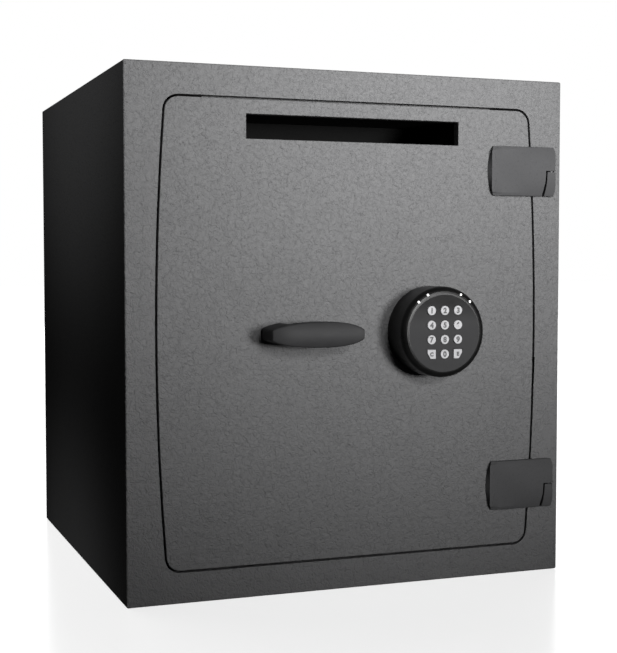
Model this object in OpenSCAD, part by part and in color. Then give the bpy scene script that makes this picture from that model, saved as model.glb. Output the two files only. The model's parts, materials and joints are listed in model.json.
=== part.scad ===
// Freestanding deposit safe: a steel box whose hinged door has a letter slot, a lever and a round keypad.
// X runs to the right, Y runs from the front to the back, Z is up.
// The origin is on the floor, under the middle of the box.

/* [Box] */
// Width of the steel box
box_w = 452; // [380:1:620]
// Depth of the steel box, front plate to back panel
box_d = 450; // [360:1:620]
// Height of the steel box
box_h = 500; // [415:1:700]
// Thickness of the side, top, base and back panels
panel_t = 6; // [4:0.5:8]
// Thickness of the front plate that frames the door
front_t = 10; // [8:0.5:14]
// Radius of each anchor hole in the base and the back
anchor_r = 6.5; // [4:0.5:9]
// Distance between anchor holes across the width
anchor_pitch_x = 300; // [200:5:300]
// Distance between floor anchor holes front to back
anchor_pitch_y = 300; // [150:5:300]
// Height between wall anchor holes
anchor_pitch_z = 260; // [150:5:320]

/* [Door] */
// Width of the front plate left at each side of the door, at mid height
border_x = 30; // [26:0.5:34]
// Width of the front plate left above and below the door
border_z = 31; // [26:0.5:40]
// How far each upright door edge bows outwards at mid height
door_bow = 9; // [4:0.5:12]
// Radius of the door corners
door_corner_r = 13; // [6:0.5:16]
// Gap between door and front plate
door_gap = 2; // [1.5:0.1:3]
// Thickness of the door plate
door_t = 9.6; // [8:0.1:13]
// Depth of the shallow pan behind the door plate that holds the bolt work
pan_depth = 40; // [38:0.5:46]
// Thickness of the pan's sheet
pan_wall = 3; // [2:0.5:4]
// Distance from the door edge at mid height in to the pan
pan_inset_x = 16; // [14:0.5:20]
// Distance from the door's bottom edge up to the pan
pan_inset_z = 14; // [12:0.5:18]
// Thickness of the removable inner cover
cover_t = 2; // [1.5:0.5:3]

/* [Deposit slot] */
// Length of the slot
slot_w = 220; // [150:1:230]
// Height of the slot
slot_h = 23; // [15:0.5:30]
// Distance from the door's top edge down to the middle of the slot
slot_drop = 25; // [24:0.5:40]
// Thickness of the chute's sheet
chute_wall = 2; // [1.5:0.5:3]
// How far the chute reaches behind the front plate's face
chute_reach = 110; // [85:1:130]
// How far the chute's outlet hangs below the middle of the slot
chute_fall = 62; // [45:1:75]
// Number of teeth on the plate that stops letters being fished out
tooth_count = 16; // [8:1:24]

/* [Hinges] */
// Distance from the top or bottom door edge to the middle of a hinge
hinge_inset = 60.5; // [50:0.5:75]
// Height of a hinge
hinge_h = 49.5; // [40:0.5:58]
// How far a hinge stands out at mid height
hinge_proud = 11; // [10:0.5:14]
// How far a hinge stands out along its top and bottom edges
hinge_lip = 4; // [2:0.5:6]
// Length of a hinge from its left end to the pin
hinge_reach = 63; // [58:0.5:80]
// Distance from the box's right side in to the pin
pin_inset = 15; // [13:0.5:17]
// Radius of the hinge pin
pin_r = 2.5; // [2:0.1:3]
// Length of the hinge pin
pin_len = 28; // [20:1:30]

/* [Lever] */
// Distance from the door's middle to the lever's pivot, to the left
lever_x = 84; // [70:1:92]
// Length of the lever
lever_len = 90; // [75:1:100]
// Height of the lever at its widest
lever_h = 24.3; // [20:0.1:28]
// How far the lever stands out from the door
lever_proud = 39; // [34:0.5:46]
// Thickness of the lever's grip
lever_t = 14; // [10:0.5:18]
// Radius of the spindle
spindle_r = 6; // [5:0.1:7]

/* [Keypad] */
// Distance from the door's middle to the keypad's middle, to the right
keypad_x = 78.5; // [70:0.5:90]
// Outer radius of the keypad
keypad_r = 44; // [42:0.5:48]
// How far the keypad stands out from the door
keypad_proud = 35; // [32:0.5:40]
// Distance between key centres
key_pitch = 14; // [12:0.1:14.5]
// Radius of a round key
key_r = 4.5; // [3.5:0.1:5]
// How far a key travels when pressed
key_travel = 1; // [0.5:0.1:1]

/* [Bolt work] */
// Radius of a locking bolt
bolt_r = 9; // [7:0.5:10]
// Distance between locking bolts
bolt_pitch = 110; // [90:1:125]
// Number of locking bolts
bolt_count = 3; // [2:1:3]
// How far the locking bolts slide
bolt_throw = 30; // [20:0.5:31]
// How far the electronic lock's own bolt slides
lock_throw = 10; // [6:0.5:11]

/* [Hidden] */

$fn = 64;
eps = 0.5;
big = 1000;
arc_steps = 14;
corner_steps = 6;
fit_gap = 0.3;
running_gap = 0.05;
seat_gap = 0.02;

steel_colour = [0.30, 0.30, 0.31];
inner_colour = [0.42, 0.42, 0.43];
zinc_colour = [0.72, 0.73, 0.74];
black_colour = [0.06, 0.06, 0.065];
brass_colour = [0.78, 0.62, 0.30];
key_colour = [0.82, 0.83, 0.84];

front_y = -box_d / 2;
inner_x = box_w / 2 - panel_t;
mid_z = box_h / 2;

door_half_w = box_w / 2 - border_x;
door_half_h = box_h / 2 - border_z;
bow_r = (door_half_h * door_half_h + door_bow * door_bow) / (2 * door_bow);
pan_half_w = door_half_w - pan_inset_x;
slot_z = door_half_h - slot_drop;
chute_half_w = slot_w / 2 + 1 + chute_wall;
chute_half_h = slot_h / 2 + 1 + chute_wall;
pan_low = pan_inset_z - door_half_h;
pan_high = slot_z - chute_half_h - 1;
pan_back = door_t + pan_depth;
cover_back = pan_back + cover_t;
cover_tab = 14;
cover_tab_len = 20;
cover_screw_r = 2.5;
cover_screw_in = 12;
cover_head_r = 5;
cover_head_t = 2.4;

stop_len = 300;
stop_t = 5;
stop_overlap = 6;
stop_seat = 14;

chute_turn = 58;
chute_bevel = 18;
mitre = 0.4;
guard_t = 2;
guard_w = slot_w - 20;
guard_top = 45;
guard_bottom = 70;
tooth_len = 9;

hinge_z = door_half_h - hinge_inset;
pin_x = box_w / 2 - pin_inset;
arm_lift = 0.4;
pin_out = (hinge_proud + arm_lift) / 2;
pin_wrap = hinge_proud - pin_out;
hinge_drop = hinge_proud - hinge_lip;
hinge_arc_r = (hinge_h * hinge_h / 4 + hinge_drop * hinge_drop) / (2 * hinge_drop);
hinge_end_r = 5;
knuckle_left = 6;
slit_left = 7.5;
slit_half = 0.5;
relief_r = norm([knuckle_left, pin_out]) + running_gap;
lift_reach = 20;
washer_wall = 1.3;
arm_screw_r = 3;
arm_screw_in = 8;
arm_head_r = 5.4;
arm_head_t = 3;
arm_screw_z = 10;
arm_screw_inset = 10;
arm_screw_pitch = 15;
arm_screw_x = [for (i = [0, 1]) pin_x - hinge_reach + arm_screw_inset + i * arm_screw_pitch];

dog_t = 12;
dog_half_h = 130;
dog_front = front_t + 7.5;
dog_reach = 5;

pivot_hub_r = 12.5;
lever_back = 12;
lever_mid = 39;
lever_steps = 26;
lever_power = 2.15;
lever_blend = 0.43;
grip_crown_r = 22;
lever_lift = 0.4;
spindle_in = 5;
square_w = 8;
spindle_step = 1;
bush_r = 8;
bush_flange_r = 11;
bush_flange_t = 2;
ring_t = 1.2;
ring_r = 9;
lever_screw_r = 2;
lever_screw_y = -lever_proud / 3;
lever_screw_sink = 0.6;
neck_sink = 1;
cam_screw_r = 2.5;
cam_screw_in = 12;
cam_head_r = 6;
cam_head_t = 2.4;

bolt_depth = front_t + 2 + bolt_r;
bolt_tip = pan_half_w + 6;
flange_t = 5;
flange_over = 15;
flange_left = pan_half_w - pan_wall - 1 - bolt_throw;
flange_front = door_t + 2.4;
web_front = door_t + 27.4;
web_t = 4;
web_half_h = 60;
web_right = lever_x - 27;
bolt_screw_r = 4;
bolt_head_r = 6;
bolt_head_t = 4;
bolt_screw_in = 18;

crank_r = bolt_throw / sqrt(2);
cam_front = web_front - 10;
cam_t = 6;
cam_hub_r = 12;
cam_eye_r = 7.5;
cam_arm_half = 6;
cam_pin_r = 4;
cam_pin_over = 1.5;
cam_slack = 0.75;
cam_slot_end = 1;

stud_x = flange_left - flange_t - 16;
stud_z = 48;
stud_r = 4;
stud_shoulder_r = 8;
clip_r = 7.5;
clip_t = 1.6;
stud_over = 1;

plate_t = 3;
plate_left = 5;
plate_right = 30;
lock_x = [0, 60];
lock_z = [18, 100];
lock_back = door_t + plate_t + 32;
lock_bolt_x = [25, 35];
lock_bolt_y = [web_front - 3, web_front + 6];
lock_bolt_up = 30;
lock_bolt_low = 14;
lock_screw_r = 2.5;
lock_screw_edge = 7;
lock_screw_tip = 5;
lock_head_r = 4.5;
lock_head_t = 2.6;
tail_z = [-14, 0];
tooth_x = [lock_bolt_x[1] + 3, lock_bolt_x[1] - 5 + bolt_throw - (lock_bolt_x[1] - lock_bolt_x[0])];
tooth_top = 12;
tail_over = 2;

cable_r = 2;
cable_bend = 10;
cable_z = 24;
cable_hole_r = 5;
cable_in = 3;
cable_spare = 1;
cable_out = door_t + plate_t + 8 + cable_bend;

rim_t = 3;
rim_round = 6;
rim_land = 0.6;
fascia_r = keypad_r - 6.8;
fascia_t = 2.5;
fascia_drop = 1.1;
base_t = 3;
wall_front = 8.5;
board_t = 1.6;
board_y = 22.4;
board_r = keypad_r - 6;
boss_r = 3;
boss_ring = 35;
light_ring = keypad_r - 4;
light_r = 1.1;
light_t = 4;
light_angles = [47, 64, 116, 133];
key_gap = 0.35;
key_cut = 0.75;
cap_t = 2.3;
cap_proud = 1.2;
stem_r = 3;
keypad_screw_r = 2;
keypad_screw_x = 31;
keypad_head_r = 4;
keypad_head_t = 2.2;
blind_wall = 3;
battery_size = [48, 17, 26];

// ---------- helpers ----------

// Everything on the door and front plate is drawn from the front face, Y growing into the box,
// and from the middle of the door, then set in place here.
module at_front() translate([0, front_y, mid_z]) children();

// Extrudes an outline drawn in X and Z so that it spans two depths.
module upright(depths)
    translate([0, depths[1], 0]) rotate([90, 0, 0]) linear_extrude(depths[1] - depths[0]) children();

// Box between three pairs of limits.
module block(xs, ys, zs)
    translate([xs[0], ys[0], zs[0]]) cube([xs[1] - xs[0], ys[1] - ys[0], zs[1] - zs[0]]);

module rod_x(xs, y, z, r) translate([xs[0], y, z]) rotate([0, 90, 0]) cylinder(h = xs[1] - xs[0], r = r);
module rod_y(x, ys, z, r) translate([x, ys[0], z]) rotate([-90, 0, 0]) cylinder(h = ys[1] - ys[0], r = r);
module rod_z(x, y, zs, r) translate([x, y, zs[0]]) cylinder(h = zs[1] - zs[0], r = r);

// One quarter of the bowed door outline, from mid height up to the top edge.
function bow_quarter(hw, hh, r, c) =
    let (
        a = asin((hh - c) / (r - c)),
        cx = hw - r + (r - c) * cos(a),
        side = [for (i = [0 : arc_steps]) [hw - r + r * cos(a * i / arc_steps), r * sin(a * i / arc_steps)]],
        corner = [for (i = [1 : corner_steps])
            let (t = a + (90 - a) * i / corner_steps) [cx + c * cos(t), hh - c + c * sin(t)]]
    ) concat(side, corner);

function backwards(list) = [for (i = [len(list) - 1 : -1 : 0]) list[i]];
function flipped(list, sx, sz) = [for (p = list) [p[0] * sx, p[1] * sz]];

// Outline of the door, or of the hole round it when it is grown by the door gap.
module bowed(grow) {
    q = bow_quarter(door_half_w + grow, door_half_h + grow, bow_r + grow, door_corner_r + grow);
    upper = concat(q, backwards(flipped(q, -1, 1)));
    lower = backwards(flipped([for (i = [1 : len(upper) - 2]) upper[i]], 1, -1));
    polygon(concat(upper, lower));
}

// Outline of the pan, drawn in from its outside by a margin.
module pan_outline(margin)
    translate([margin - pan_half_w, pan_low + margin])
        square([2 * (pan_half_w - margin), pan_high - pan_low - 2 * margin]);

// ---------- steel box ----------

module front_frame() color(steel_colour) at_front() upright([0, front_t]) difference() {
    square([box_w, box_h], center = true);
    bowed(door_gap);
}

module side_panel(side) {
    outer = side * box_w / 2;
    inner = side * inner_x;
    block([min(outer, inner), max(outer, inner)], [front_y + front_t, box_d / 2], [0, box_h]);
}

module left_panel() color(steel_colour) side_panel(-1);
module right_panel() color(steel_colour) side_panel(1);
module top_panel() color(steel_colour)
    block([-inner_x, inner_x], [front_y + front_t, box_d / 2], [box_h - panel_t, box_h]);

module base_panel() color(steel_colour) difference() {
    block([-inner_x, inner_x], [front_y + front_t, box_d / 2], [0, panel_t]);
    for (sx = [-1, 1], sy = [-1, 1])
        rod_z(sx * anchor_pitch_x / 2, sy * anchor_pitch_y / 2, [-eps, panel_t + eps], anchor_r);
}

module back_panel() color(steel_colour) difference() {
    block([-inner_x, inner_x], [box_d / 2 - panel_t, box_d / 2], [panel_t, box_h - panel_t]);
    for (sx = [-1, 1], sz = [-1, 1])
        rod_y(sx * anchor_pitch_x / 2, [box_d / 2 - panel_t - eps, box_d / 2 + eps],
            mid_z + sz * anchor_pitch_z / 2, anchor_r);
}

module door_stops() color(steel_colour) at_front() for (s = [-1, 1]) {
    edge = door_half_h + door_gap;
    near = s * (edge - stop_overlap);
    far = s * (edge + stop_seat);
    block([-stop_len / 2, stop_len / 2], [front_t, front_t + stop_t], [min(near, far), max(near, far)]);
}

// ---------- hinges ----------

// Side view of a hinge, an arc that is highest in the middle, extruded along X.
module hinge_bar(xs) intersection() {
    block(xs, [-hinge_proud, 0], [-hinge_h / 2, hinge_h / 2]);
    rod_x(xs, hinge_arc_r - hinge_proud, 0, hinge_arc_r);
}

// Keeps what lies left of the pin, and a round end about the pin.
module pin_end() {
    block([pin_x - big, pin_x], [-big, big], [-big, big]);
    rod_z(pin_x, -pin_out, [-hinge_h, hinge_h], pin_wrap);
}

// Keeps what lies right of an arm's left end, whose front corner is round.
module arm_end() {
    left = pin_x - hinge_reach;
    block([left + hinge_end_r, big], [-big, big], [-big, big]);
    block([left, big], [hinge_end_r - hinge_proud, big], [-big, big]);
    rod_z(left + hinge_end_r, hinge_end_r - hinge_proud, [-hinge_h, hinge_h], hinge_end_r);
}

module knuckle(z) translate([0, 0, z]) difference() {
    intersection() {
        hinge_bar([pin_x - knuckle_left, pin_x + pin_wrap]);
        pin_end();
        block([-big, big], [-big, big], [-hinge_h, -slit_half]);
    }
    rod_z(pin_x, -pin_out, [-pin_len / 2, 0], pin_r + seat_gap);
}

module hinge_arm(z) translate([0, 0, z]) difference() {
    intersection() {
        hinge_bar([pin_x - hinge_reach, pin_x + pin_wrap]);
        pin_end();
        arm_end();
    }
    block([pin_x - slit_left, big], [-big, big], [-hinge_h, slit_half]);
    rod_z(pin_x, -pin_out, [-hinge_h, slit_half], relief_r);
    rod_z(pin_x, -pin_out, [0, pin_len / 2 + fit_gap], pin_r + running_gap);
    block([pin_x - lift_reach, big], [-arm_lift, big], [-hinge_h, hinge_h]);
    for (x = arm_screw_x, s = [-1, 1])
        rod_y(x, [-arm_screw_in, eps], s * arm_screw_z, arm_screw_r + seat_gap);
}

module upper_knuckle() color(steel_colour) at_front() knuckle(hinge_z);
module lower_knuckle() color(steel_colour) at_front() knuckle(-hinge_z);
module upper_arm() color(steel_colour) at_front() hinge_arm(hinge_z);
module lower_arm() color(steel_colour) at_front() hinge_arm(-hinge_z);

module hinge_pins() color(zinc_colour) at_front() for (z = [-hinge_z, hinge_z])
    rod_z(pin_x, -pin_out, [z - pin_len / 2, z + pin_len / 2], pin_r);

module hinge_washers() color(brass_colour) at_front() for (z = [-hinge_z, hinge_z]) difference() {
    rod_z(pin_x, -pin_out, [z - slit_half, z + slit_half - running_gap], pin_wrap - washer_wall);
    rod_z(pin_x, -pin_out, [z - hinge_h, z + hinge_h], pin_r + 2 * running_gap);
}

module arm_screws() color(zinc_colour) at_front()
for (z = [-hinge_z, hinge_z], x = arm_screw_x, s = [-1, 1]) {
    rod_y(x, [-arm_screw_in, door_t], z + s * arm_screw_z, arm_screw_r);
    rod_y(x, [door_t - arm_head_t, door_t], z + s * arm_screw_z, arm_head_r);
}

// ---------- door ----------

module door_plate() color(steel_colour) at_front() difference() {
    upright([0, door_t]) difference() {
        bowed(0);
        translate([0, slot_z]) square([slot_w, slot_h], center = true);
    }
    rod_y(-lever_x, [-eps, door_t + eps], 0, bush_r + seat_gap);
    rod_y(keypad_x, [-eps, door_t + eps], cable_z, cable_hole_r);
    for (z = [-hinge_z, hinge_z], x = arm_screw_x, s = [-1, 1]) {
        rod_y(x, [-eps, door_t + eps], z + s * arm_screw_z, arm_screw_r + seat_gap);
        rod_y(x, [door_t - arm_head_t, door_t + eps], z + s * arm_screw_z, arm_head_r + seat_gap);
    }
    for (s = [-1, 1])
        rod_y(keypad_x + s * keypad_screw_x, [-eps, door_t - blind_wall], 0, keypad_screw_r + seat_gap);
    at_lock_screws([lock_screw_tip, door_t + eps], lock_screw_r + seat_gap);
}

// Repeats what stands at each corner of the pan.
module at_pan_corners() {
    inset = pan_wall + cover_tab / 2;
    for (sx = [-1, 1], z = [pan_low + inset, pan_high - inset])
        translate([sx * (pan_half_w - inset), 0, z]) children();
}

module door_pan() color(inner_colour) at_front() difference() {
    union() {
        upright([door_t, pan_back]) difference() {
            pan_outline(0);
            pan_outline(pan_wall);
        }
        at_pan_corners() block([-cover_tab / 2, cover_tab / 2], [pan_back - cover_tab_len, pan_back],
            [-cover_tab / 2, cover_tab / 2]);
    }
    for (z = bolt_heights())
        rod_x([-pan_half_w - eps, pan_wall + eps - pan_half_w], bolt_depth, z, bolt_r + fit_gap);
    at_pan_corners() rod_y(0, [pan_back - cover_screw_in, pan_back + eps], 0, cover_screw_r + seat_gap);
}

module inner_cover() color(inner_colour) at_front() difference() {
    upright([pan_back, cover_back]) pan_outline(0);
    at_pan_corners() rod_y(0, [pan_back - eps, cover_back + eps], 0, cover_screw_r + fit_gap);
}

module cover_screws() color(zinc_colour) at_front() at_pan_corners() {
    rod_y(0, [pan_back - cover_screw_in, cover_back + eps], 0, cover_screw_r);
    rod_y(0, [cover_back, cover_back + cover_head_t], 0, cover_head_r);
}

module dog_bar() color(zinc_colour) at_front()
    block([pan_half_w, door_half_w + door_gap + dog_reach], [dog_front, dog_front + dog_t],
        [-dog_half_h, dog_half_h]);

// ---------- deposit chute ----------

// Side view of the chute, a duct that goes back and then down; inset by the sheet for its inside.
module chute_side(inset, start, low) polygon([
    [start, chute_half_h - inset],
    [chute_reach - chute_bevel - inset * mitre, chute_half_h - inset],
    [chute_reach - inset, chute_half_h - chute_bevel - inset * mitre],
    [chute_reach - inset, low],
    [chute_turn + inset, low],
    [chute_turn + inset, -chute_half_h + inset],
    [start, -chute_half_h + inset]
]);

// Extrudes a side view, drawn in Y and Z, across the width.
module across(half_w) translate([-half_w, 0, 0]) rotate([90, 0, 90]) linear_extrude(2 * half_w) children();

module chute() color(inner_colour) at_front() translate([0, 0, slot_z]) difference() {
    across(chute_half_w) chute_side(0, door_t, -chute_fall);
    across(chute_half_w - chute_wall) chute_side(chute_wall, door_t - eps, -chute_fall - eps);
}

module fishing_guard() color(zinc_colour) at_front() translate([0, 0, slot_z])
    upright([chute_turn - guard_t, chute_turn]) {
        step = guard_w / tooth_count;
        polygon(concat(
            [[guard_w / 2, -guard_top], [-guard_w / 2, -guard_top]],
            [[-guard_w / 2, -guard_bottom + tooth_len]],
            [for (i = [0 : tooth_count - 1], k = [1, 2])
                [-guard_w / 2 + step * (i + k / 2), k == 1 ? -guard_bottom : -guard_bottom + tooth_len]]
        ));
    }

// ---------- electronic lock ----------

// Repeats a rod of some radius at each screw of the lock case.
module at_lock_screws(ys, r) {
    for (x = [lock_x[0] + lock_screw_edge, lock_x[1] - lock_screw_edge],
        z = [lock_z[0] + lock_screw_edge, lock_z[1] - lock_screw_edge])
        rod_y(x, ys, z, r);
}

module hard_plate() color(zinc_colour) at_front() difference() {
    block([lock_x[0] - plate_left, keypad_x + plate_right], [door_t, door_t + plate_t],
        [-keypad_r, lock_z[1]]);
    rod_y(keypad_x, [door_t - eps, door_t + plate_t + eps], cable_z, cable_hole_r);
    at_lock_screws([door_t - eps, door_t + plate_t + eps], lock_screw_r + seat_gap);
}

module lock_case() color(brass_colour) at_front() difference() {
    block(lock_x, [door_t + plate_t, lock_back], lock_z);
    block([lock_bolt_x[0] - fit_gap, lock_bolt_x[1] + fit_gap],
        [lock_bolt_y[0] - fit_gap, lock_bolt_y[1] + fit_gap], [lock_z[0] - eps, lock_z[0] + lock_bolt_up]);
    rod_x([lock_x[1] - cable_in - cable_spare, lock_x[1] + eps], cable_out, cable_z, cable_r + fit_gap);
    at_lock_screws([door_t - eps, lock_back + eps], lock_screw_r + fit_gap);
}

module lock_screws() color(zinc_colour) at_front() {
    at_lock_screws([lock_screw_tip, lock_back + eps], lock_screw_r);
    at_lock_screws([lock_back, lock_back + lock_head_t], lock_head_r);
}

module lock_bolt() color(zinc_colour) at_front()
    block(lock_bolt_x, lock_bolt_y, [lock_bolt_low, lock_z[0] + lock_bolt_up - lock_throw]);

// Runs straight back from the keypad's board, turns left and enters the lock case.
module lock_cable() color(black_colour) at_front() {
    rod_y(keypad_x, [-board_y, cable_out - cable_bend], cable_z, cable_r);
    translate([keypad_x - cable_bend, cable_out - cable_bend, cable_z])
        rotate_extrude(angle = 90) translate([cable_bend, 0]) circle(cable_r);
    rod_x([lock_x[1] - cable_in, keypad_x - cable_bend], cable_out, cable_z, cable_r);
}

// ---------- keypad ----------

module at_keypad() at_front() translate([keypad_x, 0, 0]) children();

// Height of each row of keys and place of each column, from the keypad's middle.
function key_place(col, row) = [(col - 1) * key_pitch, (1.5 - row) * key_pitch];

// A revolved outline, drawn as radius and depth, about the keypad's own axis.
module turned() rotate([-90, 0, 0]) rotate_extrude() children();

module keypad_base() color(black_colour) at_keypad() difference() {
    rod_y(0, [-base_t, 0], 0, keypad_r - rim_t - fit_gap);
    rod_y(0, [-base_t - eps, eps], cable_z, cable_hole_r);
    for (s = [-1, 1]) rod_y(s * keypad_screw_x, [-base_t - eps, eps], 0, keypad_screw_r + seat_gap);
}

module keypad_screws() color(zinc_colour) at_keypad() for (s = [-1, 1]) {
    rod_y(s * keypad_screw_x, [-base_t - eps, door_t - blind_wall], 0, keypad_screw_r);
    rod_y(s * keypad_screw_x, [-base_t - keypad_head_t, -base_t], 0, keypad_head_r);
}

// Outline of the keypad's shell, with a round shoulder at the front.
module housing_profile() {
    shoulder = keypad_r - fascia_r - rim_land;
    front = -keypad_proud;
    polygon(concat(
        [[0, front + wall_front], [keypad_r - rim_t, front + wall_front]],
        [[keypad_r - rim_t, 0], [keypad_r, 0]],
        [for (i = [0 : corner_steps]) let (t = 90 * i / corner_steps)
            [keypad_r - shoulder + shoulder * cos(t), front + rim_round - rim_round * sin(t)]],
        [[0, front]]
    ));
}

module keypad_housing() color(black_colour) at_keypad() difference() {
    union() {
        turned() housing_profile();
        for (a = [90, 210, 330])
            rod_y(boss_ring * cos(a), [-keypad_proud + wall_front - eps, -board_y - board_t],
                boss_ring * sin(a), boss_r);
    }
    rod_y(0, [-keypad_proud - eps, -keypad_proud + fascia_t], -fascia_drop, fascia_r);
    for (a = light_angles)
        rod_y(light_ring * cos(a), [-keypad_proud - eps, -keypad_proud + light_t],
            light_ring * sin(a), light_r + running_gap);
    for (row = [0 : 3], col = [0 : 2]) {
        p = key_place(col, row);
        rod_y(p[0], [-keypad_proud, -keypad_proud + wall_front + eps], p[1], stem_r + key_gap);
    }
}

// Outline of one key cap; the two lower corner keys have a square inner side and a cut outer corner.
module key_outline(col, row, grow) {
    s = col - 1;
    r = key_r + grow;
    cut = key_cut * r;
    if (row == 3 && col != 1)
        polygon([[-s * r, r], [s * r, r], [s * r, r - cut], [s * (r - cut), -r], [-s * r, -r]]);
    else
        circle(r);
}

module keypad_fascia() color([0.16, 0.16, 0.17]) at_keypad() difference() {
    rod_y(0, [-keypad_proud, -keypad_proud + fascia_t], -fascia_drop, fascia_r - running_gap);
    for (row = [0 : 3], col = [0 : 2]) {
        p = key_place(col, row);
        translate([p[0], 0, p[1]]) upright([-keypad_proud - eps, -keypad_proud + fascia_t + eps])
            key_outline(col, row, key_gap);
    }
}

module status_lights() color("white") at_keypad() for (a = light_angles)
    rod_y(light_ring * cos(a), [-keypad_proud, -keypad_proud + light_t], light_ring * sin(a), light_r);

module keypad_board() color([0.08, 0.30, 0.16]) at_keypad() difference() {
    rod_y(0, [-board_y - board_t, -board_y], 0, board_r);
    rod_y(0, [-board_y - board_t - eps, -board_y + eps], -board_r, 3);
}

module battery() color([0.2, 0.2, 0.22]) at_keypad()
    block([-battery_size[0] / 2, battery_size[0] / 2], [-base_t - battery_size[1], -base_t],
        [-battery_size[2] / 2, battery_size[2] / 2]);

module key(col, row) color(key_colour) at_keypad() {
    p = key_place(col, row);
    top = -keypad_proud - cap_proud;
    translate([p[0], 0, p[1]]) {
        upright([top, top + cap_t]) key_outline(col, row, 0);
        rod_y(0, [top + cap_t, -board_y - board_t - key_travel - fit_gap], 0, stem_r);
    }
}

module key_1() key(0, 0);
module key_2() key(1, 0);
module key_3() key(2, 0);
module key_4() key(0, 1);
module key_5() key(1, 1);
module key_6() key(2, 1);
module key_7() key(0, 2);
module key_8() key(1, 2);
module key_9() key(2, 2);
module key_clear() key(0, 3);
module key_0() key(1, 3);
module key_enter() key(2, 3);

// ---------- lever and bolt work ----------

function bolt_heights() = [for (i = [0 : bolt_count - 1]) (i - (bolt_count - 1) / 2) * bolt_pitch];

module at_pivot() at_front() translate([-lever_x, 0, 0]) children();

// Half height of the grip at a distance from the pivot, widest at lever_mid.
function grip_half(x) =
    let (
        left = (lever_mid - x) / (lever_mid + lever_back) / 1.06,
        right = (x - lever_mid) / (lever_len - lever_back - lever_mid) / 1.04
    ) lever_h / 2 * pow(1 - pow(max(left, right), lever_power), lever_blend);

module grip_outline() {
    upper = [for (i = [0 : lever_steps])
        let (x = lever_len * (1 - cos(180 * i / lever_steps)) / 2 - lever_back) [x, grip_half(x)]];
    polygon(concat(upper, backwards(flipped(upper, 1, -1))));
}

module lever() color(black_colour) at_pivot() difference() {
    union() {
        intersection() {
            upright([-lever_proud, lever_t - lever_proud]) grip_outline();
            rod_x([-lever_len, lever_len], grip_crown_r - lever_proud, 0, grip_crown_r);
        }
        upright([lever_t - lever_proud - neck_sink, -lever_lift]) intersection() {
            grip_outline();
            circle(pivot_hub_r);
        }
    }
    rod_y(0, [spindle_in - lever_proud, eps], 0, spindle_r + seat_gap);
    rod_z(0, lever_screw_y, [-lever_h, 0], lever_screw_r + seat_gap);
}

module lever_screw() color(zinc_colour) at_pivot()
    rod_z(0, lever_screw_y, [lever_screw_sink - grip_half(0), -spindle_r - seat_gap], lever_screw_r);

module spindle() color(zinc_colour) at_pivot() difference() {
    union() {
        rod_y(0, [spindle_in - lever_proud, cam_front - spindle_step], 0, spindle_r);
        block([-square_w / 2, square_w / 2], [cam_front - 2 * spindle_step, cam_front + cam_t],
            [-square_w / 2, square_w / 2]);
    }
    rod_y(0, [cam_front + cam_t - cam_screw_in, cam_front + cam_t + eps], 0, cam_screw_r + seat_gap);
}

module spindle_bush() color(brass_colour) at_pivot() difference() {
    union() {
        rod_y(0, [0, door_t + eps], 0, bush_r);
        rod_y(0, [door_t, door_t + bush_flange_t], 0, bush_flange_r);
    }
    rod_y(0, [-eps, door_t + bush_flange_t + eps], 0, spindle_r + running_gap);
}

module retaining_ring() color(zinc_colour) at_pivot() difference() {
    front = door_t + bush_flange_t + running_gap;
    rod_y(0, [front, front + ring_t], 0, ring_r);
    rod_y(0, [0, pan_back], 0, spindle_r + seat_gap);
}

module drive_cam() color(zinc_colour) at_pivot() {
    arm = crank_r / sqrt(2);
    upright([cam_front, cam_front + cam_t]) difference() {
        union() {
            circle(cam_hub_r);
            translate([arm, -arm]) circle(cam_eye_r);
            rotate(-45) translate([0, -cam_arm_half]) square([crank_r, 2 * cam_arm_half]);
        }
        square(square_w + 2 * running_gap, center = true);
    }
    rod_y(arm, [cam_front + cam_t - eps, web_front + web_t + cam_pin_over], -arm, cam_pin_r);
}

module cam_screw() color(zinc_colour) at_pivot() {
    rod_y(0, [cam_front + cam_t - cam_screw_in, cam_front + cam_t + eps], 0, cam_screw_r);
    rod_y(0, [cam_front + cam_t, cam_front + cam_t + cam_head_t], 0, cam_head_r);
}

// Slot with round ends, long enough for a stud to run the bolts' whole throw.
module guide_slot(z) {
    ends = [-stud_x, bolt_throw - stud_x];
    depths = [web_front - eps, web_front + web_t + eps];
    for (x = ends) rod_y(x, depths, z, stud_r + fit_gap);
    block(ends, depths, [z - stud_r - fit_gap, z + stud_r + fit_gap]);
}

module bolt_carrier() color(zinc_colour) at_front() difference() {
    half_h = (bolt_count - 1) / 2 * bolt_pitch + flange_over;
    pin_at = crank_r / sqrt(2);
    union() {
        block([-flange_left, flange_t - flange_left], [flange_front, web_front + web_t], [-half_h, half_h]);
        block([flange_t - flange_left - eps, -web_right], [web_front, web_front + web_t],
            [-web_half_h, web_half_h]);
        block([-web_right - eps, tooth_x[1] + tail_over], [web_front, web_front + web_t], tail_z);
        block(tooth_x, [web_front, web_front + web_t], [tail_z[0], tooth_top]);
    }
    block([pin_at - lever_x - cam_pin_r - cam_slack, pin_at - lever_x + cam_pin_r + cam_slack],
        [web_front - eps, web_front + web_t + eps],
        [-crank_r - cam_pin_r - cam_slot_end, cam_pin_r + cam_slot_end - pin_at]);
    for (s = [-1, 1]) guide_slot(s * stud_z);
    for (z = bolt_heights())
        rod_x([-flange_left - eps, flange_t - flange_left + eps], bolt_depth, z, bolt_screw_r + seat_gap);
}

module bolts() color(zinc_colour) at_front() for (z = bolt_heights()) difference() {
    rod_x([-bolt_tip, -flange_left], bolt_depth, z, bolt_r);
    rod_x([-flange_left - bolt_screw_in, eps - flange_left], bolt_depth, z, bolt_screw_r + seat_gap);
}

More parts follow.
